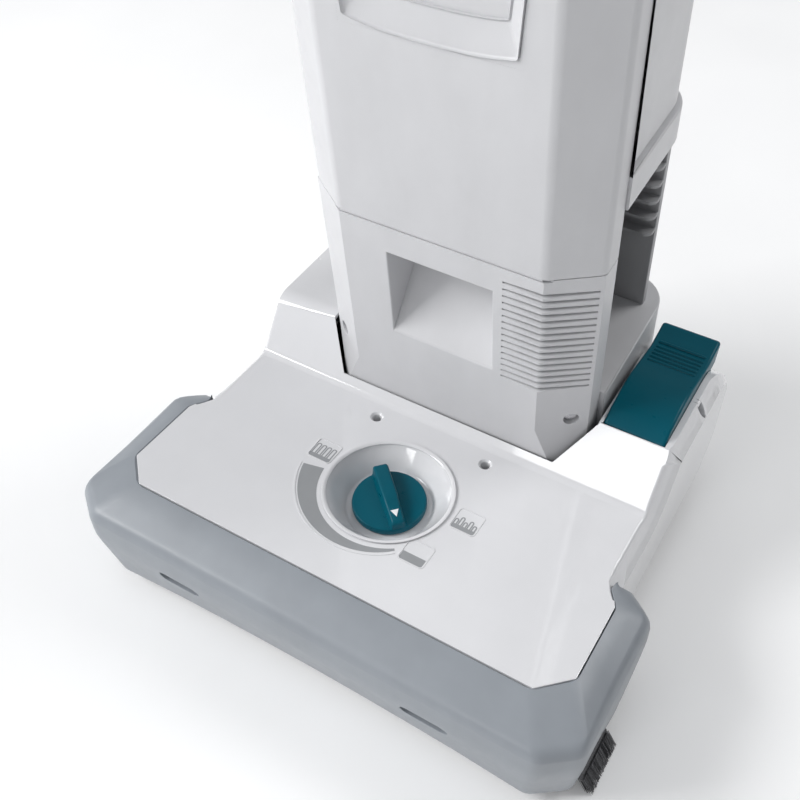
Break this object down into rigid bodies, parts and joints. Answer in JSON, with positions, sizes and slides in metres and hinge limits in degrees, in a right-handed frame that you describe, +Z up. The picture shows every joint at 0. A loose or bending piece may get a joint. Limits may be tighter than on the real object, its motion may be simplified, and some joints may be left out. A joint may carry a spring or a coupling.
{
  "type": "upright carpet vacuum cleaner",
  "caption": "Battery upright brush vacuum for carpets: wide floor head with brush roller and height dial, tilting body with dust bag, fan, hose and loop handle.",
  "frame": {"origin": "on the floor, midway across the width and midway between the bumper's front and the rearmost point", "axes": "+Z up, +X towards the side of the release pedal, -Y towards the bumper"},
  "size_m": [0.408, 0.3734, 1.2306],
  "materials": {
    "head_shell": "glossy white moulding",
    "bumper": "satin grey soft moulding",
    "body_shell": "satin light grey moulding",
    "dark_plastic": "dark grey moulding",
    "black_plastic": "black moulding",
    "teal_plastic": "satin teal moulding",
    "rubber": "black rubber",
    "bristle": "nylon bristle",
    "steel": "brushed",
    "aluminium": "satin tube",
    "bag": "non-woven dust bag",
    "card": "pressed card",
    "filter": "pleated filter paper",
    "board": "circuit board",
    "gauge": "smoked window"
  },
  "bodies": {
    "head": {"head_base": "dark_plastic", "head_cover": "head_shell", "bumper": "bumper", "edge_brushes": "bristle", "sole_plate": "steel", "roller_bearings": "black_plastic", "brush_motor": "steel", "drive_belt": "rubber", "suction_duct": "black_plastic", "dial_cup": "head_shell", "rear_axles": "steel", "pedal_pins": "steel", "pedal_spring": "steel", "head_screws": "steel"},
    "roller": {"roller_core": "dark_plastic", "roller_bristles": "bristle", "roller_pulley": "black_plastic"},
    "motor_shaft": {"motor_pulley": "steel"},
    "dial": {"height_knob": "teal_plastic", "height_cam": "black_plastic"},
    "carriage": {"front_carriage": "dark_plastic"},
    "front_axle": {"front_rollers": "black_plastic"},
    "wheel_left": {"rear_wheel_left": "dark_plastic", "rear_tyre_left": "rubber"},
    "wheel_right": {"rear_wheel_right": "dark_plastic", "rear_tyre_right": "rubber"},
    "pedal": {"release_pedal": "teal_plastic"},
    "pawl": {"lock_pawl": "steel"},
    "body": {"pivot_trunnions": "steel", "pivot_drum": "black_plastic", "motor_housing": "body_shell", "lower_housing": "body_shell", "inner_column": "black_plastic", "rear_spine": "dark_plastic", "rear_housing": "body_shell", "cover_seal": "rubber", "top_cap": "body_shell", "handle_socket": "dark_plastic", "handle_tube": "aluminium", "handle_grip": "dark_plastic", "battery_cradle": "dark_plastic", "dust_bag": "bag", "bag_collar": "card", "air_riser": "dark_plastic", "fan_motor": "steel", "exhaust_filter": "filter", "control_board": "board", "battery_gauge": "gauge", "hose": "dark_plastic", "hose_cuffs": "black_plastic", "suction_wand": "aluminium", "wand_clips": "dark_plastic", "body_screws": "steel"},
    "cover": {"dust_cover": "body_shell"},
    "latch": {"cover_latch": "teal_plastic"},
    "impeller": {"fan_impeller": "black_plastic"},
    "battery": {"battery_pack": "black_plastic"},
    "battery_button": {"battery_release": "teal_plastic"},
    "tool": {"crevice_tool": "black_plastic"},
    "switch": {"power_switch": "teal_plastic"}
  },
  "joints": [
    {"name": "body_tilt", "type": "hinge", "parent": "head", "child": "body", "pos_m": [0, 0.09327, 0.072], "axis": [-1, 0, 0], "range_deg": [0, 65]},
    {"name": "roller_spin", "type": "hinge", "parent": "head", "child": "roller", "pos_m": [0, -0.13273, 0.03], "axis": [1, 0, 0], "continuous": true},
    {"name": "motor_spin", "type": "hinge", "parent": "head", "child": "motor_shaft", "pos_m": [-0.1, -0.02173, 0.055], "axis": [1, 0, 0], "continuous": true},
    {"name": "dial_turn", "type": "hinge", "parent": "head", "child": "dial", "pos_m": [0, -0.06773, 0.08], "axis": [0, 0, -1], "range_deg": [-43.5, 139.5]},
    {"name": "carriage_lift", "type": "hinge", "parent": "head", "child": "carriage", "pos_m": [0, 0.01927, 0.026], "axis": [1, 0, 0], "range_deg": [-1.4, 4.3]},
    {"name": "front_rollers_spin", "type": "hinge", "parent": "carriage", "child": "front_axle", "pos_m": [0, -0.07973, 0.011], "axis": [1, 0, 0], "continuous": true},
    {"name": "left_wheel_spin", "type": "hinge", "parent": "head", "child": "wheel_left", "pos_m": [-0.13, 0.09727, 0.036], "axis": [1, 0, 0], "continuous": true},
    {"name": "right_wheel_spin", "type": "hinge", "parent": "head", "child": "wheel_right", "pos_m": [0.13, 0.09727, 0.036], "axis": [1, 0, 0], "continuous": true},
    {"name": "pedal_press", "type": "hinge", "parent": "head", "child": "pedal", "pos_m": [0.133, 0.05327, 0.113], "axis": [-1, 0, 0], "range_deg": [0, 9], "stiffness_Nm_per_rad": 1.5, "springref_deg": -14.32, "deforming": ["pedal_spring"]},
    {"name": "pawl_swing", "type": "hinge", "parent": "head", "child": "pawl", "pos_m": [0.1225, 0.07927, 0.09], "axis": [-1, 0, 0], "range_deg": [0, 20], "stiffness_Nm_per_rad": 0.05, "springref_deg": -14.32},
    {"name": "cover_open", "type": "hinge", "parent": "body", "child": "cover", "pos_m": [0, -0.00142, 0.26186], "axis": [1, 0, 0], "range_deg": [0, 60]},
    {"name": "latch_slide", "type": "slide", "parent": "cover", "child": "latch", "axis": [0, 0.0785, -0.9969], "range_m": [0, 0.005], "stiffness_N_per_m": 250, "springref_m": -0.004},
    {"name": "impeller_spin", "type": "hinge", "parent": "body", "child": "impeller", "pos_m": [0.024, 0.08996, 0.16503], "axis": [0, -0.0785, 0.9969], "continuous": true},
    {"name": "battery_slide", "type": "slide", "parent": "body", "child": "battery", "axis": [0, -0.0785, 0.9969], "range_m": [0, 0.1]},
    {"name": "battery_button_press", "type": "slide", "parent": "battery", "child": "battery_button", "axis": [0, -0.9969, -0.0785], "range_m": [0, 0.003], "stiffness_N_per_m": 300, "springref_m": -0.003},
    {"name": "tool_lift", "type": "slide", "parent": "body", "child": "tool", "axis": [0, -0.0785, 0.9969], "range_m": [0, 0.12]},
    {"name": "switch_rock", "type": "hinge", "parent": "body", "child": "switch", "pos_m": [0, -0.03743, 1.1591], "axis": [1, 0, 0], "range_deg": [0, 7]}
  ],
  "couplings": [
    {"joint": "motor_spin", "follows": "roller_spin", "ratio": 1.6},
    {"joint": "carriage_lift", "follows": "dial_turn", "ratio": 0.03},
    {"joint": "pawl_swing", "follows": "pedal_press", "ratio": 2.2}
  ]
}
